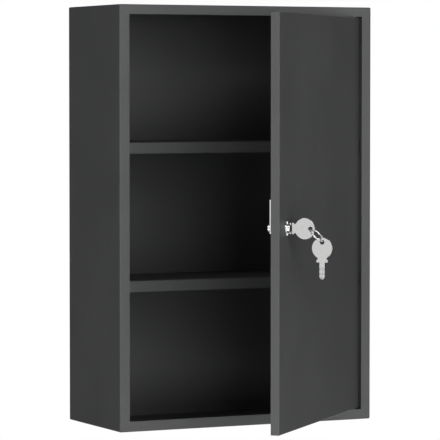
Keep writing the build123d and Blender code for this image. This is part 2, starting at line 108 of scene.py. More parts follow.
@dataclass(frozen=True)
class LocalFrame:
    """A right-handed frame in which a piece's sizes are easy to say.

    Attributes:
        origin: Where the frame's zero lies in the row frame, in metres.
        x: Unit vector of the first local axis.
        z: Unit vector of the third local axis; the second is z cross x.
    """

    origin: Array
    x: Array
    z: Array

    def place(self, points: Array) -> Array:
        """Carry local points into the row frame.

        Args:
            points: Local x, y, z in millimetres, along the last dimension.

        Returns:
            The same points in the row frame, in metres.
        """
        axes = np.stack([self.x, np.cross(self.z, self.x), self.z])
        return MM * points @ axes + self.origin

    def moved(self, x: float, y: float, z: float) -> "LocalFrame":
        """Return this frame shifted by local distances in millimetres."""
        return LocalFrame(self.place(np.array([x, y, z])), self.x, self.z)


def joint_place(name: str) -> tuple[Array, Array]:
    """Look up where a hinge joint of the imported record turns.

    Args:
        name: The joint's name.

    Returns:
        A point on its axis in metres, and the axis as a unit vector.
    """
    joint = next(entry for entry in frame["joints"] if entry["name"] == name)
    axis = np.array(joint["axis"], float)
    return np.array(joint["pos_m"], float), axis / np.linalg.norm(axis)


@dataclass(frozen=True)
class Surface:
    """Points and faces of one or more closed shells, in a piece's local frame.

    Attributes:
        points: Local positions in millimetres, of shape (count, 3).
        quads: Indices of each face's four corners.
    """

    points: Array
    quads: NDArray[np.int64]


def grid_surface(points: Array, close_rows: bool = False, close_columns: bool = False) -> Surface:
    """Span a grid of points with quads.

    Point (i, j) is joined to (i + 1, j), (i + 1, j + 1) and (i, j + 1), and a closed direction
    joins its last line of points to its first.

    Args:
        points: Grid of local positions, of shape (rows, columns, 3).
        close_rows: Whether the rows wrap round.
        close_columns: Whether the columns wrap round.

    Returns:
        The spanned surface.
    """
    rows, columns = points.shape[:2]
    row = np.arange(rows if close_rows else rows - 1)[:, None]
    column = np.arange(columns if close_columns else columns - 1)[None, :]
    next_row = (row + 1) % rows
    next_column = (column + 1) % columns
    corners = [
        row * columns + column,
        next_row * columns + column,
        next_row * columns + next_column,
        row * columns + next_column,
    ]
    return Surface(points.reshape(-1, 3), np.stack(corners, axis=-1).reshape(-1, 4))


def merged(*surfaces: Surface) -> Surface:
    """Return several surfaces as one, their points in the order given."""
    starts = np.cumsum([0, *(len(surface.points) for surface in surfaces[:-1])])
    quads = [surface.quads + start for surface, start in zip(surfaces, starts)]
    return Surface(np.concatenate([surface.points for surface in surfaces]), np.concatenate(quads))


def lathe(profile: Array, steps: int, loop: bool, rule: Optional[RadiusRule] = None) -> Surface:
    """Turn a profile about the local z axis.

    The point at angle a on profile point (r, z) is (r cos a, r sin a, z), where a rule may change
    r by angle, radius and height.

    Args:
        profile: Radius and height of each profile point, of shape (count, 2).
        steps: Points round the axis.
        loop: Whether the profile closes on itself, as a ring's does; otherwise it runs from pole
            to pole.
        rule: Gives the radius from arrays of angle, radius and height.

    Returns:
        The turned surface.
    """
    angle = np.linspace(0.0, 2.0 * math.pi, steps, endpoint=False)[None, :]
    radius = np.repeat(profile[:, :1], steps, axis=1)
    height = np.repeat(profile[:, 1:], steps, axis=1)
    if rule is not None:
        radius = rule(angle + 0.0 * radius, radius, height)
    points = np.stack([radius * np.cos(angle), radius * np.sin(angle), height], axis=-1)
    return grid_surface(points, close_rows=loop, close_columns=True)


def arc(centre: tuple[float, float], radius: float, start: float, stop: float, steps: int) -> Array:
    """Return points on a circular arc.

    A point at angle a is the centre plus radius times (cos a, sin a).

    Args:
        centre: The circle's centre.
        radius: The circle's radius.
        start: First angle in degrees.
        stop: Last angle in degrees.
        steps: Number of points.

    Returns:
        Points of shape (steps, 2).
    """
    angle = np.radians(np.linspace(start, stop, steps))
    return np.stack([centre[0] + radius * np.cos(angle), centre[1] + radius * np.sin(angle)], axis=-1)


def softened(corners: Array, reach: float, steps: int = 4, loop: bool = True) -> Array:
    """Replace each corner of an outline by a short curve.

    Each corner P becomes the quadratic curve from a point on the side before it, through the pull
    of P, to a point on the side after it. Both are the reach away from P, or nearer where a side
    is short.

    Args:
        corners: The outline's corners, of shape (count, 2).
        reach: Longest distance from a corner to where its curve starts.
        steps: Points of each curve.
        loop: Whether the outline closes; otherwise its two ends stay as they are.

    Returns:
        The softened outline.
    """
    before = np.roll(corners, 1, axis=0) - corners
    after = np.roll(corners, -1, axis=0) - corners
    length_before = np.linalg.norm(before, axis=1, keepdims=True)
    length_after = np.linalg.norm(after, axis=1, keepdims=True)
    start = corners + before * np.minimum(reach / length_before, SIDE_SHARE)
    stop = corners + after * np.minimum(reach / length_after, SIDE_SHARE)
    share = np.linspace(0.0, 1.0, steps)[None, :, None]
    curves = (
        (1 - share) ** 2 * start[:, None]
        + 2 * share * (1 - share) * corners[:, None]
        + share**2 * stop[:, None]
    )
    if loop:
        return curves.reshape(-1, 2)
    return np.concatenate([corners[:1], curves[1:-1].reshape(-1, 2), corners[-1:]])


@dataclass(frozen=True)
class Plate:
    """A flat plate with rounded rims, mirrored about its local x axis, with one hole on that axis.

    Attributes:
        outline: Upper half of the outline from the pole at high x to the pole at low x, (n, 2).
        hole_x: Where the hole's centre lies on the x axis.
        hole_radius: The hole's radius by its angle from the +x axis.
        thickness: The plate's thickness, centred on local z = 0.
        rim: Radius of the rounded rims.
        groove: Depth taken off both faces by local x and y.
    """

    outline: Array
    hole_x: float
    hole_radius: Callable[[Array], Array]
    thickness: float
    rim: float
    groove: Callable[[Array, Array], Array]

    def surface(self) -> Surface:
        """Build the plate as one closed shell.

        A station is a point of the outline and a point of the spine, which is the x axis outside
        the hole and the hole's edge beside it. A face point is the spine point plus a share of the
        way to the inset outline. The rim is a quarter circle from each face into the wall.

        Returns:
            The plate's surface.
        """
        outline = self.outline
        tangent = np.gradient(outline, axis=0)
        normal = np.stack([-tangent[:, 1], tangent[:, 0]], axis=-1)
        normal *= -1.0 / np.maximum(np.linalg.norm(normal, axis=1, keepdims=True), TINY)
        normal[0] = (1.0, 0.0)
        normal[-1] = (-1.0, 0.0)
        inset = outline - self.rim * normal
        inset[:, 1] = np.maximum(inset[:, 1], 0.0)
        spine = np.stack([np.minimum.accumulate(inset[:, 0]), np.zeros(len(inset))], axis=-1)
        far = self.hole_x + self.hole_radius(np.array([0.0]))[0] + self.rim
        near = self.hole_x - self.hole_radius(np.array([math.pi]))[0] - self.rim
        inside = np.flatnonzero((spine[:, 0] <= far) & (spine[:, 0] >= near))
        swing = np.linspace(0.0, math.pi, len(inside))
        radius = self.hole_radius(swing)
        way = np.stack([np.cos(swing), np.sin(swing)], axis=-1)
        spine[inside] = way * (radius + self.rim)[:, None] + (self.hole_x, 0.0)

        share = FACE_SHARES[None, :, None]
        face = spine[:, None] + share * (inset - spine)[:, None]
        upper = self.thickness / 2 - self.groove(face[..., 0], face[..., 1])
        turn = np.linspace(0.0, math.pi / 2, RIM_POINTS + 1)[1:]
        out = self.rim * np.sin(turn)
        level = self.thickness / 2 - self.rim * (1.0 - np.cos(turn))
        rim = inset[:, None] + normal[:, None] * out[None, :, None]
        rim_level = np.repeat(level[None, :], len(outline), axis=0)
        section = np.concatenate([face, rim, rim[:, ::-1], face[:, ::-1]], axis=1)
        height = np.concatenate([upper, rim_level, -rim_level[:, ::-1], -upper[:, ::-1]], axis=1)
        half = np.concatenate([section, height[..., None]], axis=2)

        edge = spine[inside][:, None] - way[:, None] * np.concatenate([[0.0], out])[None, :, None]
        edge_level = np.repeat(np.concatenate([[self.thickness / 2], level])[None, :], len(inside), 0)
        wall = np.concatenate([edge, edge[:, ::-1]], axis=1)
        wall_height = np.concatenate([edge_level, -edge_level[:, ::-1]], axis=1)
        hole = np.concatenate([wall, wall_height[..., None]], axis=2)

        mirror = np.array([1.0, -1.0, 1.0])
        sheets = (half, half * mirror, hole, hole * mirror)
        return merged(*map(grid_surface, sheets))


class NodeSheet:
    """Adds and joins the nodes of one material or node group."""

    def __init__(self, tree: NodeTree) -> None:
        """Keep the tree that nodes are added to."""
        self.tree = tree

    def add(self, kind: str, values: Optional[dict] = None, **settings: object) -> Node:
        """Add a node.

        Args:
            kind: The node's type name, without its ShaderNode prefix.
            values: Input values by socket name or index; a socket is joined instead.
            **settings: Properties of the node.

        Returns:
            The new node.
        """
        node = self.tree.nodes.new("ShaderNode" + kind)
        for name, setting in settings.items():
            setattr(node, name, setting)
        for key, value in (values or {}).items():
            if isinstance(value, Socket):
                self.tree.links.new(value, node.inputs[key])
            else:
                node.inputs[key].default_value = value
        return node

    def noise(self, vector: Socket, scale: object, detail: float) -> Socket:
        """Return the value of a new noise texture."""
        values = {"Vector": vector, "Scale": scale, "Detail": detail}
        return self.add("TexNoise", values).outputs[0]

    def stretch(self, vector: Socket, scale: object) -> Socket:
        """Return a vector multiplied axis by axis."""
        return self.add("VectorMath", {0: vector, 1: scale}, operation="MULTIPLY").outputs[0]

    def math(self, operation: str, first: object, second: object) -> Socket:
        """Return the result of a new Math node on two values or sockets."""
        return self.add("Math", {0: first, 1: second}, operation=operation).outputs[0]

    def spread(self, value: Socket, low: object, high: object) -> Socket:
        """Return 0..1 carried onto low..high, where each end is a number or a socket."""
        values = {"Value": value, "To Min": low, "To Max": high}
        return self.add("MapRange", values).outputs[0]

    def step(self, value: Socket, low: float, high: float) -> Socket:
        """Return a smooth step from 0 at low to 1 at high."""
        values = {"Value": value, "From Min": low, "From Max": high}
        return self.add("MapRange", values, interpolation_type="SMOOTHSTEP").outputs[0]


GroupParts = tuple[NodeSheet, bpy.types.NodeOutputs, bpy.types.NodeInputs]


class Effects:
    """Shader node groups that several finishes share, each built once."""

    # Mottling: how fine its patches and specks are, and the patches' share of it.
    PATCH_SCALE = 9.0
    SPECK_SCALE = 700.0
    PATCH_SHARE = 0.6
    # Handling marks: how they are smeared, how finely broken, and where both begin and end.
    SMEAR = (1.0, 1.0, 0.45)
    MARK_EDGES = (0.52, 0.72)
    BREAK_SCALE = 310.0
    BREAK_EDGES = (0.35, 0.75)
    # Odd scratches: how they are turned, how narrow they are, and where they begin and end.
    SCRATCH_TURN = (0.4, 0.2, 0.9)
    SCRATCH_SCALE = (70.0, 2600.0, 2600.0)
    SCRATCH_EDGES = (0.70, 0.78)

    def __init__(self) -> None:
        """Build every group."""
        self.grain = self._grain()
        self.marks = self._marks()
        self.lines = self._lines()

    @staticmethod
    def _group(name: str, inputs: dict[str, float], outputs: tuple[str, ...]) -> GroupParts:
        """Start a group that takes a Vector and named values.

        Args:
            name: The group's name.
            inputs: Default value of each input after Vector.
            outputs: Names of the value outputs.

        Returns:
            The group's sheet, the sockets that it takes from and those that it gives to.
        """
        tree = bpy.data.node_groups.new(name, "ShaderNodeTree")
        tree.interface.new_socket(name="Vector", in_out="INPUT", socket_type="NodeSocketVector")
        for key, value in inputs.items():
            socket = tree.interface.new_socket(name=key, in_out="INPUT", socket_type="NodeSocketFloat")
            socket.default_value = value
        for key in outputs:
            tree.interface.new_socket(name=key, in_out="OUTPUT", socket_type="NodeSocketFloat")
        source = tree.nodes.new("NodeGroupInput")
        result = tree.nodes.new("NodeGroupOutput")
        return NodeSheet(tree), source.outputs, result.inputs

    def _grain(self) -> NodeTree:
        """Build the group for a baked coat: a soft ripple with a fine grain on it, and mottling."""
        inputs = {"Ripple Scale": 420.0, "Grain Scale": 1900.0, "Grain Share": 0.4}
        sheet, source, result = self._group("Coat grain", inputs, ("Height", "Mottle"))
        ripple = sheet.noise(source["Vector"], source["Ripple Scale"], detail=1.5)
        grain = sheet.noise(source["Vector"], source["Grain Scale"], detail=2.0)
        weighted = sheet.math("MULTIPLY", grain, source["Grain Share"])
        height = sheet.math("ADD", ripple, weighted)
        patches = sheet.noise(source["Vector"], self.PATCH_SCALE, detail=3.0)
        specks = sheet.noise(source["Vector"], self.SPECK_SCALE, detail=1.0)
        patches = sheet.math("MULTIPLY", patches, self.PATCH_SHARE)
        specks = sheet.math("MULTIPLY", specks, 1.0 - self.PATCH_SHARE)
        mottle = sheet.math("ADD", patches, specks)
        sheet.tree.links.new(height, result["Height"])
        sheet.tree.links.new(mottle, result["Mottle"])
        return sheet.tree

    def _marks(self) -> NodeTree:
        """Build the group for handling marks: broken, smeared patches."""
        inputs = {"Scale": 24.0, "Amount": 1.0}
        sheet, source, result = self._group("Handling marks", inputs, ("Mask",))
        smear = sheet.add("Mapping", {"Vector": source["Vector"], "Scale": self.SMEAR})
        patch = sheet.step(sheet.noise(smear.outputs[0], source["Scale"], detail=4.0), *self.MARK_EDGES)
        fine = sheet.step(sheet.noise(smear.outputs[0], self.BREAK_SCALE, detail=3.0), *self.BREAK_EDGES)
        mask = sheet.math("MULTIPLY", sheet.math("MULTIPLY", patch, fine), source["Amount"])
        sheet.tree.links.new(mask, result["Mask"])
        return sheet.tree

    def _lines(self) -> NodeTree:
        """Build the group for fine lines along x, as brushing and use leave, with odd scratches."""
        inputs = {"Along": 90.0, "Across": 5200.0, "Scratches": 1.0}
        sheet, source, result = self._group("Fine lines", inputs, ("Height", "Mask"))
        across = source["Across"]
        scale = sheet.add("CombineXYZ", {0: source["Along"], 1: across, 2: across})
        stretch = sheet.stretch(source["Vector"], scale.outputs[0])
        brushed = sheet.noise(stretch, 1.0, detail=2.0)
        turned = sheet.add("Mapping", {"Vector": source["Vector"], "Rotation": self.SCRATCH_TURN})
        narrow = sheet.stretch(turned.outputs[0], self.SCRATCH_SCALE)
        odd = sheet.step(sheet.noise(narrow, 1.0, detail=0.0), *self.SCRATCH_EDGES)
        scratches = sheet.math("MULTIPLY", odd, source["Scratches"])
        height = sheet.math("SUBTRACT", brushed, scratches)
        sheet.tree.links.new(height, result["Height"])
        sheet.tree.links.new(scratches, result["Mask"])
        return sheet.tree


class FinishSheet(NodeSheet):
    """The node sheet of one material, with its surface shader."""

    def __init__(self, name: str) -> None:
        """Start the material."""
        self.material = bpy.data.materials.new(name)
        self.material.use_nodes = True
        super().__init__(self.material.node_tree)
        self.shader = self.tree.nodes["Principled BSDF"]

    def place(self, own_space: bool) -> Socket:
        """Return where a point lies: in the piece's own frame, or in Object coordinates."""
        if own_space:
            return self.add("Attribute", attribute_name=PIECE_SPACE).outputs["Vector"]
        return self.add("TexCoord").outputs["Object"]

    def effect(self, group: NodeTree, values: dict) -> Node:
        """Add a shared effect with its inputs set or joined."""
        return self.add("Group", values, node_tree=group)

    def blend(self, mask: Socket, first: Colour, second: Colour) -> Socket:
        """Return the colour that goes from the first to the second as the mask goes from 0 to 1."""
        # Input 0 is the Mix node's factor; inputs 6 and 7 and output 2 are its colours.
        values = {0: mask, 6: (*first, 1.0), 7: (*second, 1.0)}
        return self.add("Mix", values, data_type="RGBA").outputs[2]

    def finish(
        self,
        colour: Socket,
        roughness: Socket,
        height: Socket,
        strength: float,
        relief: float,
    ) -> Material:
        """Join the surface shader.

        Args:
            colour: The surface's colour.
            roughness: Its roughness.
            height: Its relief pattern.
            strength: How strongly the relief bends the light.
            relief: Depth of the relief, in metres.

        Returns:
            The finished material.
        """
        bump = self.add("Bump", {"Strength": strength, "Distance": relief, "Height": height})
        joins = {"Base Color": colour, "Roughness": roughness, "Normal": bump.outputs[0]}
        for key, socket in joins.items():
            self.tree.links.new(socket, self.shader.inputs[key])
        return self.material


@dataclass(frozen=True)
class Coat:
    """A painted or moulded surface, faintly mottled and grained.

    Attributes:
        first: Its colour at one end of the mottling.
        second: Its colour at the other end.
        smooth: Roughness where it is smoothest.
        rough: Roughness where it is roughest.
        strength: How strongly the grain bends the light.
        relief: Depth of the grain, in metres.
        marks: How strongly handling marks dull it; with marks, its mottling has clearer patches.
        ior: Its index of refraction.
    """

    first: Colour
    second: Colour
    smooth: float
    rough: float
    strength: float
    relief: float = 0.00001
    marks: float = 0.0
    ior: float = 1.5

    def material(self, effects: Effects, name: str, own_space: bool) -> Material:
        """Build the finish.

        Args:
            effects: The shared node groups.
            name: The material's name.
            own_space: Whether the pattern follows the piece's own local frame.

        Returns:
            The new material.
        """
        sheet = FinishSheet(name)
        where = sheet.place(own_space)
        grain = sheet.effect(effects.grain, {"Vector": where})
        mottle = grain.outputs["Mottle"]
        roughness = sheet.spread(mottle, self.smooth, self.rough)
        if self.marks > 0.0:
            marks = sheet.effect(effects.marks, {"Vector": where, "Amount": self.marks})
            roughness = sheet.math("ADD", roughness, marks.outputs["Mask"])
            mottle = sheet.step(mottle, *MOTTLE_EDGES)
        tint = sheet.blend(mottle, self.first, self.second)
        sheet.shader.inputs["IOR"].default_value = self.ior
        return sheet.finish(tint, roughness, grain.outputs["Height"], self.strength, self.relief)


@dataclass(frozen=True)
class Metal:
    """A plated, drawn or stamped metal.

    Attributes:
        colour: Its reflecting colour.
        tarnish: Its colour in dull patches.
        smooth: Roughness where it is smoothest.
        rough: Roughness where it is roughest.
        along: Lines per metre along the brushing.
        across: Lines per metre across the brushing.
        scratches: How strong the odd scratches are.
        relief: Depth of the lines, in metres.
        strength: How strongly the lines bend the light.
        mark_scale: How fine the handling marks are, in waves per metre.
    """

    colour: Colour
    tarnish: Colour
    smooth: float
    rough: float
    along: float
    across: float
    scratches: float
    relief: float
    strength: float = 0.6
    mark_scale: float = 260.0

    def material(self, effects: Effects, name: str, own_space: bool) -> Material:
        """Build the finish.

        Args:
            effects: The shared node groups.
            name: The material's name.
            own_space: Whether the pattern follows the piece's own local frame; a CAD node has no
                such attribute and uses Object coordinates.

        Returns:
            The new material.
        """
        sheet = FinishSheet(name)
        where = sheet.place(own_space)
        pattern = {"Along": self.along, "Across": self.across, "Scratches": self.scratches}
        lines = sheet.effect(effects.lines, {"Vector": where, **pattern})
        marks = sheet.effect(effects.marks, {"Vector": where, "Scale": self.mark_scale})
        tint = sheet.blend(marks.outputs["Mask"], self.colour, self.tarnish)
        uneven = sheet.math("MAXIMUM", marks.outputs["Mask"], lines.outputs["Mask"])
        roughness = sheet.spread(uneven, self.smooth, self.rough)
        sheet.shader.inputs["Metallic"].default_value = 1.0
        return sheet.finish(tint, roughness, lines.outputs["Height"], self.strength, self.relief)


class Finishes:
    """Every finish of the cabinet, built once and shared by its pieces.

    Attributes:
        effects: The shared node groups.
        pieces: Finish of the finer pieces by slot, patterned in each piece's own frame.
        solids: Finish of the carried-over CAD nodes by slot, patterned in Object coordinates.
    """

    def __init__(self) -> None:
        """Build the materials."""
        effects = Effects()
        chrome = Metal((0.80, 0.81, 0.82), (0.70, 0.70, 0.70), 0.07, 0.20, 40.0, 2400.0, 0.4, 1.5e-6)
        nickel = Metal((0.51, 0.51, 0.505), (0.45, 0.45, 0.44), 0.08, 0.16, 90.0, 5200.0, 0.3, 1.2e-6)
        zinc = Metal((0.66, 0.67, 0.68), (0.55, 0.56, 0.58), 0.24, 0.42, 160.0, 2600.0, 0.5, 4e-6)
        wire = Metal((0.70, 0.70, 0.70), (0.60, 0.60, 0.60), 0.22, 0.34, 60.0, 6400.0, 0.4, 2e-6)
        brass = Metal((0.72, 0.52, 0.22), (0.50, 0.34, 0.14), 0.28, 0.46, 120.0, 3800.0, 0.5, 3e-6)
        nylon = Coat((0.032, 0.032, 0.033), (0.024, 0.024, 0.025), 0.34, 0.52, 0.4)
        paint = Coat((0.0565, 0.0574, 0.0592), (0.0680, 0.0690, 0.0710), 0.46, 0.56, 0.5, 1.6e-5, 0.1, 1.47)
        self.effects = effects
        self.solids = {
            Slot.POWDER_COAT: paint.material(effects, "Anthracite powder coat", own_space=False),
            Slot.CHROME_PLATE: chrome.material(effects, "Polished chrome core", own_space=False),
            Slot.BRASS: brass.material(effects, "Stamped brass", own_space=False),
        }
        self.pieces = {
            Slot.CHROME_PLATE: chrome.material(effects, "Polished chrome", own_space=True),
            Slot.NICKEL_PLATE: nickel.material(effects, "Satin nickel", own_space=True),
            Slot.ZINC_STEEL: zinc.material(effects, "Bright zinc", own_space=True),
            Slot.STEEL_WIRE: wire.material(effects, "Drawn wire", own_space=True),
            Slot.NYLON: nylon.material(effects, "Black nylon", own_space=True),
        }


class PieceMaker:
    """Turns surfaces into dressed Blender pieces that ride on their bodies."""

    def __init__(self, finishes: Finishes) -> None:
        """Keep the finishes, and start with no pieces made."""
        self.finishes = finishes
        self.made: list[str] = []

    def make(
        self, name: str, surface: Surface, place: LocalFrame, slot: Slot, body: str, sharp: float = 32.0
    ) -> None:
        """Make one closed piece in place of the CAD node that has its name.

        Args:
            name: The piece's name.
            surface: Its surface in local millimetres.
            place: The local frame's place in the row frame.
            slot: The record's material slot, which says its finish.
            body: The body that it moves with.
            sharp: Edges that turn by more than this many degrees are shaded sharp.
        """
        mesh = bpy.data.meshes.new(name)
        mesh.from_pydata(place.place(surface.points).tolist(), [], surface.quads.tolist())
        local = mesh.attributes.new(PIECE_SPACE, "FLOAT_VECTOR", "POINT")
        local.data.foreach_set("vector", (MM * surface.points).astype(np.float32).ravel())
        self._close(mesh, sharp)
        mesh.materials.append(self.finishes.pieces[slot])
        piece = bpy.data.objects.new(name, mesh)
        bpy.context.scene.collection.objects.link(piece)
        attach(piece, body)
        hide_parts(name)
        self.made.append(name)
        log.info("%s: %d faces, rides on %s", name, len(mesh.polygons), body)

    @staticmethod
    def _close(mesh: bpy.types.Mesh, sharp: float) -> None:
        """Merge poles and seams, turn the faces outwards and shade them.

        Args:
            mesh: The mesh to finish.
            sharp: Edges that turn by more than this many degrees are shaded sharp.
        """
        work = bmesh.new()
        work.from_mesh(mesh)
        bmesh.ops.remove_doubles(work, verts=work.verts, dist=MERGE_DISTANCE)
        bmesh.ops.dissolve_degenerate(work, edges=work.edges, dist=SHORTEST_EDGE)
        bmesh.ops.recalc_face_normals(work, faces=work.faces)
        for edge in work.edges:
            edge.smooth = edge.calc_face_angle(math.pi) < math.radians(sharp)
        for face in work.faces:
            face.smooth = True
        work.to_mesh(mesh)
        work.free()
        mesh.update()

    def dress(self, nodes: tuple[str, ...], slot: Slot) -> None:
        """Give carried-over CAD nodes a finish.

        Args:
            nodes: Names of the CAD nodes.
            slot: Their material slot, which says the finish.
        """
        for node in nodes:
            mesh = frame["nodes"][node].data
            mesh.materials.clear()
            mesh.materials.append(self.finishes.solids[slot])
            log.info("%s: CAD node dressed as %s", node, slot.value)


@dataclass
class SheetMetal:
    """The bent and welded steel sheets, whose CAD shapes are kept and dressed."""

    sheets: tuple[str, ...] = (
        "left_side", "right_side", "top_panel", "bottom_panel", "back_panel", "door_panel",
        "upper_shelf", "lower_shelf", "upper_shelf_ledges", "lower_shelf_ledges",
        "upper_hinge_bracket", "lower_hinge_bracket", "door_stops", "lock_strike",
    )

    def build(self, maker: PieceMaker) -> None:
        """Dress every sheet."""
        maker.dress(self.sheets, Slot.POWDER_COAT)


@dataclass
class HingePair:
    """Pins and bushes that the door turns on, above and below.

    Attributes:
        pin_radius: Radius of the pin's shank.
        pin_corner: Reach of the pin's softened corners.
        head_radius: Radius of the pin's head.
        head_height: Height of the pin's head.
        head_chamfer: Size of the chamfer round the head.
        head_crown: Height of the head's middle above its chamfer.
        tip_chamfer: Size of the chamfer on the pin's tip.
        bush_bore: Radius of the bush's bore.
        bush_radius: Outer radius of the bush in the door's return.
        bush_corner: Reach of the bush's softened corners.
        flange_radius: Outer radius of the bush's flange.
        flange_upper: Thickness of the upper bush's flange.
        flange_lower: Thickness of the lower bush's flange.
        steps: Points round each piece.
    """

    pin_radius: float = 2.5
    pin_corner: float = 0.18
    head_radius: float = 3.5
    head_height: float = 1.5
    head_chamfer: float = 0.45
    head_crown: float = 0.05
    tip_chamfer: float = 0.6
    bush_bore: float = 2.55
    bush_radius: float = 3.55
    bush_corner: float = 0.15
    flange_radius: float = 4.25
    flange_upper: float = 0.5
    flange_lower: float = 0.8
    steps: int = 48

    def build(self, maker: PieceMaker) -> None:
        """Make both pins and both bushes.

        Args:
            maker: Makes the pieces.
        """
        for end in End:
            pin = f"{end.name.lower()}_hinge_pin"
            place, length = self.seat(pin, end)
            surface = lathe(self.pin_profile(length), self.steps, loop=False)
            maker.make(pin, surface, place, Slot.ZINC_STEEL, "cabinet")
            bush = f"{end.name.lower()}_hinge_bush"
            place, length = self.seat(bush, end)
            flange = self.flange_upper if end is End.UPPER else self.flange_lower
            surface = lathe(self.bush_profile(length, flange), self.steps, loop=True)
            maker.make(bush, surface, place, Slot.NYLON, "door")

    @staticmethod
    def seat(node: str, end: End) -> tuple[LocalFrame, float]:
        """Find where a pin or bush begins and how long it is.

        Args:
            node: Its CAD node.
            end: Which end of the door it is at.

        Returns:
            Its frame, z from its outer face towards the door, and its length in millimetres.
        """
        pivot, _ = joint_place("door_hinge")
        low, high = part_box(node)
        face = high.z if end is End.UPPER else low.z
        origin = np.array([pivot[0], pivot[1], face])
        return LocalFrame(origin, RIGHT, -float(end.value) * UP), (high.z - low.z) / MM

    def pin_profile(self, length: float) -> Array:
        """Return the headed pin's profile from its head down, pole to pole.

        Args:
            length: Whole length with the head.

        Returns:
            Radius and depth of each profile point.
        """
        head, shank, chamfer = self.head_radius, self.pin_radius, self.head_chamfer
        corners = [(0.0, 0.0), (head - chamfer, self.head_crown), (head, self.head_crown + chamfer)]
        corners += [(head, self.head_height), (shank, self.head_height), (shank, length - self.tip_chamfer)]
        corners += [(shank - self.tip_chamfer, length), (0.0, length)]
        return softened(np.array(corners), self.pin_corner, loop=False)

    def bush_profile(self, length: float, flange: float) -> Array:
        """Return the bush's closed profile from its flange down.

        Args:
            length: Whole length with the flange.
            flange: Thickness of the flange.

        Returns:
            Radius and depth of each profile point.
        """
        bore, brim, outer = self.bush_bore, self.flange_radius, self.bush_radius
        corners = [(bore, 0.0), (brim, 0.0), (brim, flange), (outer, flange), (outer, length), (bore, length)]
        return softened(np.array(corners), self.bush_corner)


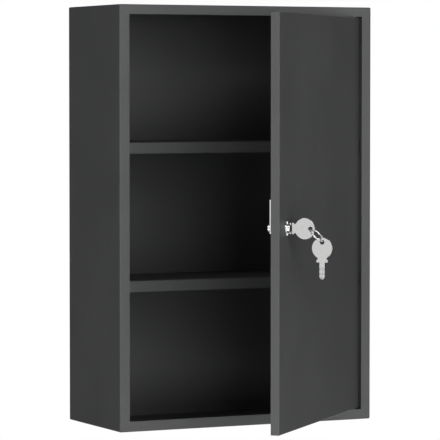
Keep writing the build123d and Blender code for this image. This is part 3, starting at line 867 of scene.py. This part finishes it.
@dataclass
class CamLock:
    """The cam lock: flanged barrel, clamp nut, turning core, cam, washer and screw.

    Heights are along the lock's axis from the door's outer face, outwards positive. Widths over
    flats go from one flat to the opposite one.
    """

    steps: int = 96
    flange_radius: float = 7.3
    flange_height: float = 2.4
    flange_rounding: float = 0.45
    nose_radius: float = 5.7
    nose_corner: float = 0.6
    nose_fillet: float = 0.3
    face: float = 5.2
    head_radius: float = 4.65
    head_depth: float = 1.2
    bevel: float = 0.15
    bore: float = 4.3
    groove_half: float = 2.4
    groove_reach: float = 4.8
    groove_end: float = -10.8
    groove_step: float = 0.05
    barrel_radius: float = 6.0
    flats: float = 10.8
    rear: float = -13.9
    rear_taper: float = 0.6
    neck_ease: float = 0.1
    thread_start: float = -1.0
    thread_pitch: float = 1.0
    thread_depth: float = 0.32
    thread_fade: float = 0.6
    thread_step: float = 0.125
    nut_front: float = -0.8
    nut_rear: float = -3.2
    nut_flats: float = 15.0
    nut_bore: float = 6.02
    nut_chamfer: float = 0.35
    cone_share: float = 0.955
    cone_slope: float = 1.9
    cam_front: float = -14.1
    cam_thickness: float = 1.5
    cam_width: float = 13.0
    cam_reach: float = 29.6
    cam_heel: float = 6.2
    cam_corner: float = 2.5
    cam_hole: float = 3.02
    cam_hole_power: float = 10.0
    cam_rim: float = 0.28
    washer_radius: float = 4.8
    washer_bore: float = 2.02
    washer_thickness: float = 0.8
    washer_corner: float = 0.22
    screw_radius: float = 4.4
    screw_height: float = 3.0
    screw_corner: float = 1.2
    screw_crown: float = 0.35
    slot_width: float = 1.2
    slot_depth: float = 1.0
    slot_wall: float = 0.03
    shank_radius: float = 2.0
    shank_length: float = 2.3

    def place(self) -> LocalFrame:
        """Return the lock's frame: z along its axis and out of the door, y up."""
        point, axis = joint_place("lock_turn")
        return LocalFrame(point, np.cross(UP, axis), axis)

    def build(self, maker: PieceMaker) -> None:
        """Make the lock's pieces and dress its core and wafers.

        Args:
            maker: Makes the pieces.
        """
        place = self.place()
        barrel = lathe(self.barrel_profile(), self.steps, loop=True, rule=self.barrel_cuts)
        maker.make("lock_barrel", barrel, place, Slot.CHROME_PLATE, "door")
        nut = lathe(self.nut_profile(), self.steps, loop=True, rule=self.hexagon)
        maker.make("lock_nut", nut, place, Slot.ZINC_STEEL, "door")
        middle = place.moved(0, 0, self.cam_front - self.cam_thickness / 2).origin
        maker.make("lock_cam", self.cam().surface(), LocalFrame(middle, UP, place.z), Slot.ZINC_STEEL, "lock")
        washer = lathe(self.washer_profile(), steps=64, loop=True)
        maker.make("cam_washer", washer, place, Slot.ZINC_STEEL, "lock")
        seat = place.moved(0, 0, self.cam_front - self.cam_thickness - self.washer_thickness).origin
        maker.make("cam_screw", self.screw(), LocalFrame(seat, place.x, -place.z), Slot.ZINC_STEEL, "lock")
        maker.dress(("lock_plug",), Slot.CHROME_PLATE)
        maker.dress(("wafer_tumblers",), Slot.BRASS)

    def barrel_profile(self) -> Array:
        """Return the barrel's closed profile, from its bore round the face to its threaded body.

        Returns:
            Radius and height of each profile point.
        """
        top, face, bevel = self.flange_height, self.face, self.bevel
        body, brim, ease = self.barrel_radius, self.flange_radius, self.neck_ease
        corner, fillet = self.nose_corner, self.nose_fillet
        rounded = self.flange_rounding * top
        floor = face - self.head_depth
        end, step = self.groove_end, self.groove_step
        dish = [(self.bore, level) for level in (self.rear, end - step, end, 0.0, step, floor)]
        seat = [(self.head_radius, floor), (self.head_radius, face - bevel), (self.head_radius + bevel, face)]
        nose = arc((self.nose_radius - corner, face - corner), corner, 90, 0, steps=8)
        root = arc((self.nose_radius + fillet, top + fillet), fillet, 180, 270, steps=5)
        flange = arc((brim - rounded, top - rounded), rounded, 90, 0, steps=12)
        back = [(brim, bevel), (brim - bevel, 0.0), (body + 2 * ease, 0.0), (body - bevel, -ease)]
        neck = [(body - bevel, self.thread_start + ease)]
        height = np.arange(self.thread_start, self.rear + self.rear_taper, -self.thread_step)
        thread = np.stack([np.full(len(height), body), height], axis=-1)
        tail = [(body - self.rear_taper + bevel, self.rear + bevel), (body - self.rear_taper, self.rear)]
        return np.concatenate([dish, seat, nose, root, flange, back, neck, thread, tail])

    def barrel_cuts(self, angle: Array, radius: Array, height: Array) -> Array:
        """Cut the thread, the two flats and the wafers' grooves into the barrel.

        The thread takes off its depth times a triangle wave of height over pitch plus turns. The
        flats hold radius times the cosine of the angle within half the width over them. The
        grooves lie above the bore and on the side that the lock turns to; each widens the bore to
        its floor and its walls.

        Args:
            angle: Angle of each point.
            radius: Radius of each point.
            height: Height of each point.

        Returns:
            The cut radius.
        """
        across = np.maximum(np.abs(np.cos(angle)), TINY)
        along = np.maximum(np.abs(np.sin(angle)), TINY)
        turns = (height / self.thread_pitch + angle / (2 * math.pi)) % 1.0
        wave = np.abs(2.0 * turns - 1.0)
        threaded = (height <= self.thread_start) & (radius > self.barrel_radius - MARGIN)
        fade = np.clip((self.thread_start - height) / self.thread_fade, 0.0, 1.0)
        cut = np.where(threaded, radius - self.thread_depth * wave * fade, radius)
        outside = radius > self.bore + MARGIN
        cut = np.where((height < 0.0) & outside, np.minimum(cut, self.flats / 2 / across), cut)
        above = np.minimum(self.groove_reach / along, self.groove_half / across) * (np.sin(angle) > 0)
        beside = np.minimum(self.groove_reach / across, self.groove_half / along) * (np.cos(angle) < 0)
        grooved = (height <= 0.0) & (height >= self.groove_end) & ~outside
        return np.where(grooved, np.maximum(cut, np.maximum(above, beside)), cut)

    def nut_profile(self) -> Array:
        """Return the clamp nut's closed profile; the hexagon rule sets its outer radius."""
        corner = self.nut_flats / 2 / math.cos(math.pi / 6)
        bore, chamfer = self.nut_bore, self.nut_chamfer
        wall = [(corner, level) for level in np.linspace(self.nut_front, self.nut_rear, num=13)]
        rear = [(bore + chamfer, self.nut_rear), (bore, self.nut_rear + chamfer)]
        front = [(bore, self.nut_front - chamfer), (bore + chamfer, self.nut_front)]
        return np.array(wall + rear + front)

    def hexagon(self, angle: Array, radius: Array, height: Array) -> Array:
        """Give the nut its six flats and chamfered corners.

        The radius is half the width over flats over the cosine of the angle from the nearest
        flat's middle, and no more than a cone that opens from each face.

        Args:
            angle: Angle of each point.
            radius: Radius of each point.
            height: Height of each point.

        Returns:
            The nut's radius.
        """
        sector = math.pi / 3
        turn = (angle + sector / 2) % sector - sector / 2
        six = self.nut_flats / 2 / np.cos(turn)
        depth = np.minimum(self.nut_front - height, height - self.nut_rear)
        cone = self.cone_share * self.nut_flats / 2 + self.cone_slope * depth
        outside = radius > self.nut_bore + self.nut_chamfer + MARGIN
        return np.where(outside, np.minimum(six, cone), radius)

    def cam(self) -> Plate:
        """Return the cam: a tongue with rounded corners and a square hole, x along its reach."""
        half, reach, heel = self.cam_width / 2, self.cam_reach, self.cam_heel
        steps = 14
        corners = np.array([(reach, 0.0), (reach, half), (-heel, half), (-heel, 0.0)])
        rounded = softened(corners, self.cam_corner, steps, loop=False)
        far, near = rounded[: steps + 1], rounded[steps + 1 :]
        side = np.linspace(far[-1], near[0], num=60)[1:-1]
        outline = np.concatenate([far, side, near])
        return Plate(outline, 0.0, self.square_hole, self.cam_thickness, self.cam_rim, no_groove)

    def square_hole(self, angle: Array) -> Array:
        """Return the cam's square hole as a radius by angle."""
        return rounded_square(angle, self.cam_hole, self.cam_hole_power)

    def washer_profile(self) -> Array:
        """Return the washer's closed profile."""
        front = self.cam_front - self.cam_thickness
        rear = front - self.washer_thickness
        bore, outer = self.washer_bore, self.washer_radius
        corners = np.array([(bore, front), (outer, front), (outer, rear), (bore, rear)])
        return softened(corners, self.washer_corner)

    def screw(self) -> Surface:
        """Build the slotted pan-head screw, its head along local z, and its shank.

        The head's top is a height over the disc: flat out to the corner's centre, then a quarter
        circle down to the rim, a low crown on both, and the floor of the slot between its walls.

        Returns:
            The surface of the head and of the shank.
        """
        radius, corner = self.screw_radius, self.screw_corner
        wall = self.slot_width / 2
        away = -radius * np.cos(np.linspace(0.0, math.pi, num=41))
        walls = [-wall - self.slot_wall, -wall, wall, wall + self.slot_wall]
        columns = np.unique(np.round(np.concatenate([away, walls]), decimals=6))
        half = np.sqrt(np.maximum(radius**2 - columns**2, 0.0))
        share = np.sin(np.linspace(-math.pi / 2, math.pi / 2, num=33))
        x = np.repeat(columns[:, None], len(share), axis=1)
        y = half[:, None] * share[None, :]
        distance = np.sqrt(x**2 + y**2)
        beyond = np.clip(distance - (radius - corner), 0.0, corner)
        rim = self.screw_height - corner
        dome = rim + np.sqrt(corner**2 - beyond**2)
        dome = dome - self.screw_crown * (distance / radius) ** 2 * (dome > rim)
        floor = self.screw_height - self.slot_depth
        dome = np.where(np.abs(x) <= wall + TINY, np.minimum(dome, floor), dome)
        top = np.stack([x, y, dome], axis=-1)
        bottom = np.stack([x, y, np.zeros_like(x)], axis=-1)
        rims = [np.stack([top[:, edge], bottom[:, edge]], axis=1) for edge in (0, -1)]
        end = -self.shank_length
        corners = [(0.0, 0.0), (self.shank_radius, 0.0), (self.shank_radius, end), (0.0, end)]
        shank = lathe(np.array(corners), steps=32, loop=False)
        return merged(*map(grid_surface, (top, bottom, *rims)), shank)


def rounded_square(angle: Array, half: float, power: float) -> Array:
    """Give a rounded square's radius at an angle.

    The square is the superellipse |x|^power + |y|^power = half^power.

    Args:
        angle: Angle from the x axis.
        half: Half the square's width.
        power: How square it is; 2 gives a circle.

    Returns:
        The radius at each angle.
    """
    spread = np.abs(np.cos(angle)) ** power + np.abs(np.sin(angle)) ** power
    return half / spread ** (1.0 / power)


def no_groove(x: Array, y: Array) -> Array:
    """Return no depth anywhere on a plain plate."""
    return 0.0 * x * y


@dataclass
class KeySet:
    """The key in the lock, the wire ring and the spare key that hangs from it.

    A key's local x runs from its shoulder to its bow. Halves are of widths across it.
    """

    shoulder_height: float = 5.5
    shoulder_half: float = 6.0
    shoulder_length: float = 2.8
    shoulder_corner: float = 0.4
    bow_radius: float = 10.75
    bow_centre: float = 14.35
    neck_half: float = 4.85
    blade_half: float = 2.95
    blade_length: float = 17.35
    blade_start: float = -0.35
    heel_slant: float = 0.08
    tip_length: float = 3.4
    tip_power: float = 1.7
    thickness: float = 1.8
    rim: float = 0.3
    sharp: float = 40.0
    hole_x: float = 20.4
    hole_radius: float = 2.25
    groove_half: float = 0.7
    groove_depth: float = 0.4
    groove_wall: float = 0.24
    groove_start: float = -3.0
    groove_run_out: float = 1.0
    cuts: tuple[float, ...] = (0.30, 0.10, 0.42, 0.0)
    first_cut: float = -6.8
    cut_pitch: float = 2.5
    cut_half: float = 1.045
    cut_slope: float = 0.55
    wire_radius: float = 0.75
    wire_cap: float = 0.3
    cap_flat: float = 0.35
    butt_gap: float = 0.3
    wire_seat: float = 1.3
    ring_twist: float = 5.0

    def build(self, maker: PieceMaker) -> None:
        """Make both keys and the ring.

        Args:
            maker: Makes the pieces.
        """
        point, out = joint_place("lock_turn")
        along = np.cross(UP, out)
        shape = self.plate().surface()
        key_place = LocalFrame(point + MM * self.shoulder_height * out, out, along)
        maker.make("key", shape, key_place, Slot.NICKEL_PLATE, "key", self.sharp)
        upper, _ = joint_place("ring_swing")
        lower, normal = joint_place("spare_key_swing")
        ring = self.ring(float(np.linalg.norm(lower - upper)) / MM / 2)
        maker.make("key_ring", ring, self.ring_place(upper, lower, along), Slot.STEEL_WIRE, "ring")
        spare_place = LocalFrame(lower - MM * (self.wire_seat + self.hole_x) * UP, UP, normal)
        maker.make("spare_key", shape, spare_place, Slot.NICKEL_PLATE, "spare_key", self.sharp)

    def ring_place(self, upper: Array, lower: Array, along: Array) -> LocalFrame:
        """Return the ring's frame: x from its upper seat to its lower one.

        The ring's width lies along the door but for its twist about x, so with fall f and door
        direction d its width lies along d cos(twist) + (f cross d) sin(twist).

        Args:
            upper: Where the ring sits in the first key's hole.
            lower: Where the spare key sits on the ring.
            along: Unit vector along the door, in the ring's swing axis.

        Returns:
            The frame at the ring's centre.
        """
        fall = (lower - upper) / np.linalg.norm(lower - upper)
        twist = math.radians(self.ring_twist)
        across = along * math.cos(twist) + np.cross(fall, along) * math.sin(twist)
        return LocalFrame((upper + lower) / 2, fall, np.cross(fall, across))

    def plate(self) -> Plate:
        """Return a key's plate with its bow, neck, shoulder, cut blade and milled groove."""
        neck_half, shoulder_half, length = self.neck_half, self.shoulder_half, self.shoulder_length
        neck_angle = 180.0 - math.degrees(math.asin(neck_half / self.bow_radius))
        bow = arc((self.bow_centre, 0.0), self.bow_radius, 0.0, neck_angle, steps=84)
        bow_clear, shoulder_clear = 0.25, 0.6
        neck = np.linspace((bow[-1, 0] - bow_clear, neck_half), (length + shoulder_clear, neck_half), num=4)
        corners = [neck[-1], (length, neck_half), (length, shoulder_half), (0.0, shoulder_half)]
        corners = np.array([*corners, (-self.heel_slant, self.blade_half)])
        shoulder = softened(corners, self.shoulder_corner, steps=7, loop=False)[1:-1]
        under = np.linspace(shoulder[-1], corners[-1], num=8)[1:]
        tip_start = self.tip_length - self.blade_length
        x = np.linspace(self.blade_start, tip_start, num=90)
        blade = np.stack([x, self.blade_half - self.cut_depth(x)], axis=-1)
        swing = np.linspace(0.0, math.pi / 2, num=26)[1:]
        power = 2.0 / self.tip_power
        tip_y = self.blade_half * np.cos(swing) ** power
        tip_y[-1] = 0.0
        tip = np.stack([tip_start - self.tip_length * np.sin(swing) ** power, tip_y], axis=-1)
        outline = np.concatenate([bow, neck, shoulder, under, blade, tip])
        return Plate(outline, self.hole_x, self.round_hole, self.thickness, self.rim, self.groove)

    def cut_depth(self, x: Array) -> Array:
        """Return how deep the wafer cuts go into the blade's edge at x.

        Each cut is a flat of its own depth with sloping ends, and the deepest one counts.

        Args:
            x: Places along the blade.

        Returns:
            The depth at each place.
        """
        centre = self.first_cut - self.cut_pitch * np.arange(len(self.cuts))[:, None]
        reach = np.clip((self.cut_half - np.abs(x[None, :] - centre)) / self.cut_slope, 0.0, 1.0)
        return np.max(np.array(self.cuts)[:, None] * reach, axis=0)

    def round_hole(self, angle: Array) -> Array:
        """Return the ring hole's radius at every angle."""
        return np.full(angle.shape, self.hole_radius)

    def groove(self, x: Array, y: Array) -> Array:
        """Return the depth of the milled groove along the blade.

        The depth is full within the groove's half width and fades over its sloping walls and at
        the cutter's run-out near the shoulder.

        Args:
            x: Places along the key.
            y: Places across the key.

        Returns:
            The depth at each place.
        """
        wall = self.groove_wall
        across = np.clip((self.groove_half + wall / 2 - np.abs(y)) / wall, 0.0, 1.0)
        run_out = np.clip((self.groove_start - x) / self.groove_run_out, 0.0, 1.0)
        return self.groove_depth * across * run_out

    def ring(self, radius: float) -> Surface:
        """Build the wire ring, whose rounded ends meet at a small gap.

        A circle of the wire's radius is carried round the ring's circle. At both ends it shrinks to
        the cap's flat, along a quarter of an ellipse, and closes to a point.

        Args:
            radius: Radius of the wire's centre line.

        Returns:
            The ring's surface.
        """
        gap = self.butt_gap / 2 / radius
        cap = self.wire_cap / radius
        start = math.pi / 2 + gap
        length = 2 * math.pi - 2 * gap
        inner = np.linspace(cap, length - cap, num=150)
        ease = np.linspace(0.0, math.pi / 2, num=6)
        first = cap * (1.0 - np.cos(ease))[:-1]
        path = np.concatenate([first, inner, length - first[::-1]])
        edge = self.cap_flat + (1.0 - self.cap_flat) * np.sin(ease)[:-1]
        edge[0] = 0.0
        scale = np.concatenate([edge, np.ones(len(inner)), edge[::-1]])
        angle = (start + path)[:, None]
        around = np.linspace(0.0, 2 * math.pi, num=20, endpoint=False)[None, :]
        reach = radius + self.wire_radius * scale[:, None] * np.cos(around)
        height = self.wire_radius * scale[:, None] * np.sin(around)
        points = np.stack([reach * np.cos(angle), reach * np.sin(angle), height], axis=-1)
        return grid_surface(points, close_columns=True)


class LightRole(Enum):
    """What a studio light does."""

    FILL = "lights surfaces and stays out of reflections"
    REFLECTION = "shows in gloss and plating only"


@dataclass(frozen=True)
class SoftBox:
    """A soft studio light that faces the cabinet.

    Attributes:
        name: Its name.
        azimuth: Degrees from straight in front of the cabinet towards its left side.
        elevation: Degrees above the cabinet's middle.
        width: Width of the light in metres.
        height: Height of the light in metres.
        power: Power in watts.
        role: Whether it lights surfaces or shows in gloss.
        distance: Metres from the cabinet's middle.
    """

    name: str
    azimuth: float
    elevation: float
    width: float
    height: float
    power: float
    role: LightRole
    distance: float = 3.0

    def build(self) -> None:
        """Hang the light so that it faces the cabinet's middle."""
        across = math.radians(self.azimuth)
        lift = math.radians(self.elevation)
        way = Vector((-math.sin(across) * math.cos(lift), -math.cos(across) * math.cos(lift), math.sin(lift)))
        light = bpy.data.lights.new(self.name, "AREA")
        light.shape = "RECTANGLE"
        light.size = self.width
        light.size_y = self.height
        light.energy = self.power
        lamp = bpy.data.objects.new(self.name, light)
        lamp.location = way * self.distance
        lamp.rotation_euler = way.to_track_quat("Z", "Y").to_euler()
        lamp.visible_camera = False
        lamp.visible_glossy = self.role is not LightRole.FILL
        lamp.visible_diffuse = self.role is not LightRole.REFLECTION
        bpy.context.scene.collection.objects.link(lamp)
        log.info("%s: light at %.0f degrees, %.0f W", self.name, self.azimuth, self.power)


@dataclass
class Studio:
    """Camera, soft lights, white surroundings and a pale floor below the cabinet.

    Attributes:
        camera_at: The camera's place in metres.
        camera_azimuth: Where it looks, in degrees from +Y towards +X.
        camera_pitch: How far it looks down, in degrees.
        focal_pixels: Its focal length in pixels of the frame.
        frame_pixels: Width of the frame in pixels.
        floor_level: Height of the floor, a wall cabinet's usual distance below it.
        floor_half: Half the floor's side.
        floor_finish: The floor's finish.
        surround: Strength of the surroundings' light on the cabinet.
    """

    camera_at: Place = (-1.3839, -2.9044, 0.1344)
    camera_azimuth: float = 26.0
    camera_pitch: float = 2.559
    focal_pixels: float = 2893.0
    frame_pixels: float = 440.0
    floor_level: float = -1.15
    floor_half: float = 3.0
    floor_finish: Coat = Coat((0.80, 0.80, 0.80), (0.86, 0.86, 0.86), 0.70, 0.80, 0.2)
    surround: float = 0.005
    lights: tuple[SoftBox, ...] = (
        SoftBox("front_fill", 0.0, 0.0, 2.2, 3.2, 84.5, LightRole.FILL),
        SoftBox("left_fill", 35.0, 0.0, 0.9, 3.2, 2.4, LightRole.FILL),
        SoftBox("high_left_fill", 58.0, 45.0, 0.9, 0.9, 8.9, LightRole.FILL),
        SoftBox("side_fill", 75.0, 0.0, 1.8, 0.9, 32.0, LightRole.FILL),
        SoftBox("front_card", -15.0, 0.0, 0.9, 0.9, 5.0, LightRole.REFLECTION),
        SoftBox("right_card", -28.0, 0.0, 2.2, 2.2, 23.5, LightRole.REFLECTION),
        SoftBox("left_card", 62.0, 0.0, 3.2, 2.0, 22.8, LightRole.REFLECTION),
        SoftBox("high_left_card", 65.0, 40.0, 1.8, 0.9, 26.0, LightRole.REFLECTION),
        SoftBox("low_left_card", 65.0, -36.0, 1.1, 0.5, 9.0, LightRole.REFLECTION, 1.8),
        SoftBox("high_right_card", -90.0, 42.0, 2.2, 1.2, 28.0, LightRole.REFLECTION),
        SoftBox("low_right_card", -105.0, -50.0, 1.4, 0.7, 9.0, LightRole.REFLECTION, 1.3),
        SoftBox("rear_fill", 180.0, 0.0, 0.3, 3.2, 30.0, LightRole.FILL),
        SoftBox("high_card", 0.0, 30.0, 2.2, 0.9, 24.0, LightRole.REFLECTION),
    )

    def build(self, effects: Effects) -> None:
        """Set up the whole studio.

        Args:
            effects: The shared node groups, for the floor's finish.
        """
        scene = bpy.context.scene
        scene.view_settings.view_transform = "Standard"
        self._camera()
        self._surroundings()
        self._floor(effects)
        for light in self.lights:
            light.build()

    def _camera(self) -> None:
        """Place the camera at the photograph's viewpoint."""
        turn = math.radians(self.camera_azimuth)
        pitch = math.radians(self.camera_pitch)
        way = Vector((math.sin(turn) * math.cos(pitch), math.cos(turn) * math.cos(pitch), -math.sin(pitch)))
        data = bpy.data.cameras.new("camera")
        data.sensor_fit = "HORIZONTAL"
        data.sensor_width = 36.0
        data.lens = self.focal_pixels / self.frame_pixels * data.sensor_width
        data.clip_start = 0.05
        data.clip_end = 60.0
        camera = bpy.data.objects.new("camera", data)
        camera.location = self.camera_at
        camera.rotation_euler = way.to_track_quat("-Z", "Y").to_euler()
        bpy.context.scene.collection.objects.link(camera)
        bpy.context.scene.camera = camera

    def _surroundings(self) -> None:
        """Make the surroundings white to the camera and dim to everything else."""
        world = bpy.data.worlds.new("surroundings")
        world.use_nodes = True
        bpy.context.scene.world = world
        tree = world.node_tree
        sheet = NodeSheet(tree)
        backdrop = sheet.add("Background", {"Color": (1.0, 1.0, 1.0, 1.0), "Strength": 1.0})
        ambient = sheet.add("Background", {"Color": (1.0, 1.0, 1.0, 1.0), "Strength": self.surround})
        seen = sheet.add("LightPath").outputs["Is Camera Ray"]
        mix = sheet.add("MixShader", {0: seen, 1: ambient.outputs[0], 2: backdrop.outputs[0]})
        tree.links.new(mix.outputs[0], tree.nodes["World Output"].inputs["Surface"])

    def _floor(self, effects: Effects) -> None:
        """Lay a pale floor with a faint unevenness.

        Args:
            effects: The shared node groups.
        """
        side = np.linspace(-self.floor_half, self.floor_half, num=13)
        x, y = np.meshgrid(side, side)
        surface = grid_surface(np.stack([x, y, np.full_like(x, self.floor_level)], axis=-1))
        mesh = bpy.data.meshes.new("floor")
        mesh.from_pydata(surface.points.tolist(), [], surface.quads[:, ::-1].tolist())
        floor = bpy.data.objects.new("floor", mesh)
        bpy.context.scene.collection.objects.link(floor)
        mesh.materials.append(self.floor_finish.material(effects, "Pale floor", own_space=False))


def main() -> None:
    """Build the studio and every sub-assembly, and report each piece."""
    logging.basicConfig(level=logging.INFO, format="%(message)s")
    finishes = Finishes()
    maker = PieceMaker(finishes)
    Studio().build(finishes.effects)
    for assembly in (SheetMetal(), HingePair(), CamLock(), KeySet()):
        log.info("-- %s", type(assembly).__name__)
        assembly.build(maker)
    log.info("%d pieces made", len(maker.made))


if __name__ == "__main__":
    main()
